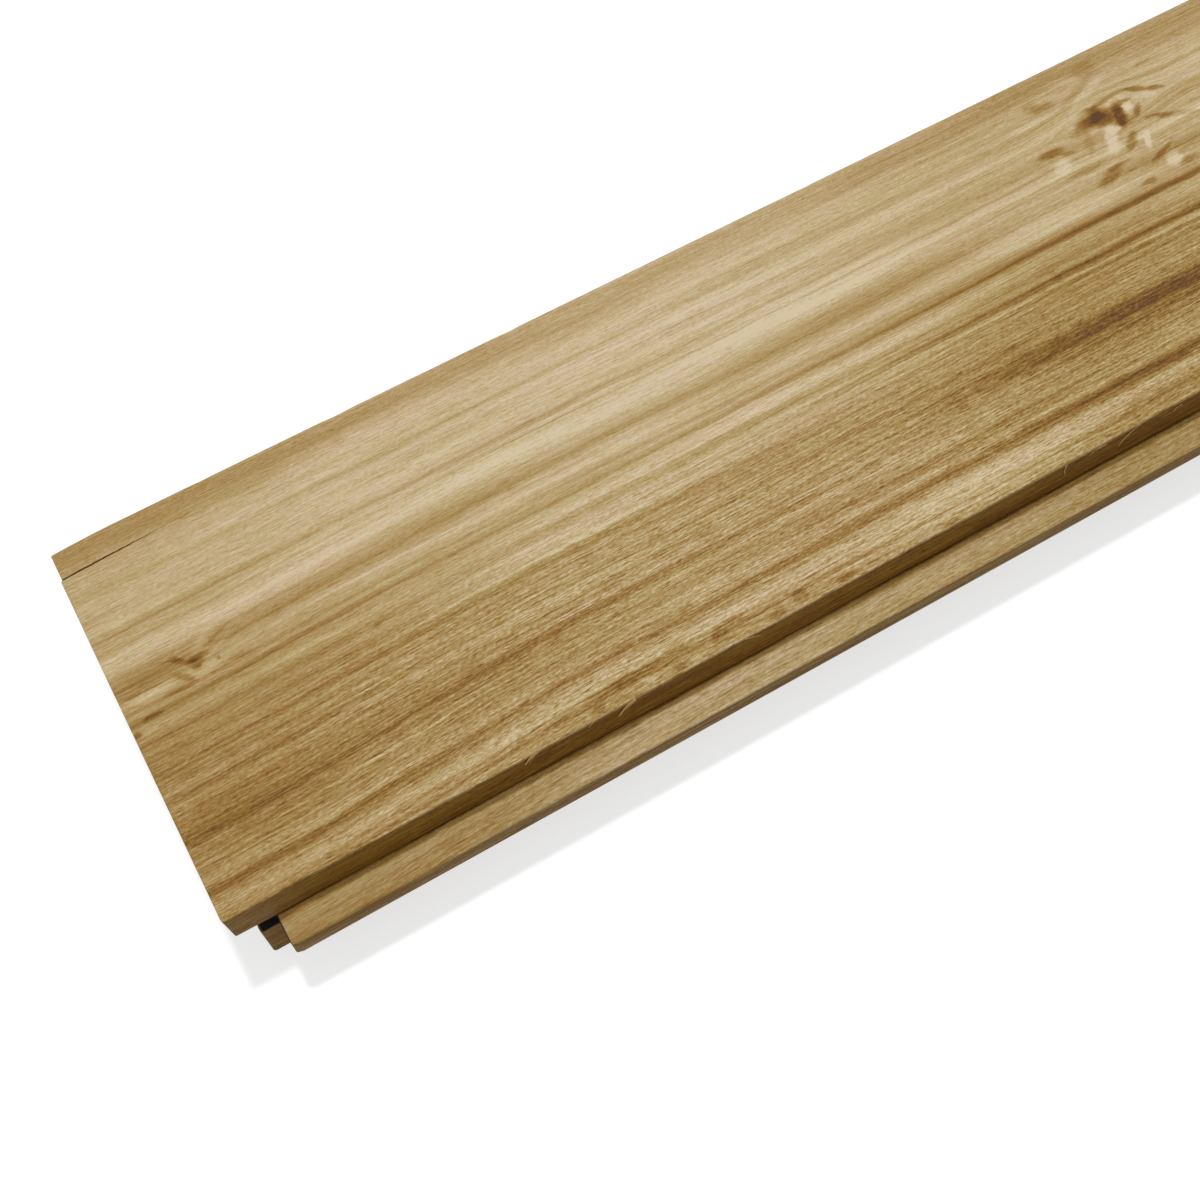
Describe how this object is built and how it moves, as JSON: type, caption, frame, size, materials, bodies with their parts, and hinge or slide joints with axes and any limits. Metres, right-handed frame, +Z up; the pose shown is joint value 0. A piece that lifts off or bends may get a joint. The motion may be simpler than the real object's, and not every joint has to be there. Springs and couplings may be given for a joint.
{
  "type": "solid hardwood floorboard",
  "caption": "Straight plank of solid hardwood with a tongue along one long edge and one end, and a matching groove along the other long edge and end.",
  "frame": {"origin": "centre of the outline, tongues included, on the plane of the underside", "axes": "+X along the grain from the grooved end to the tongued end, +Y across the board from the side tongue to the side groove, +Z up out of the worn face"},
  "size_m": [0.9068, 0.0862, 0.022],
  "materials": {
    "hardwood": "planed, unfinished"
  },
  "bodies": {
    "root": {"floorboard": "hardwood"}
  },
  "joints": []
}
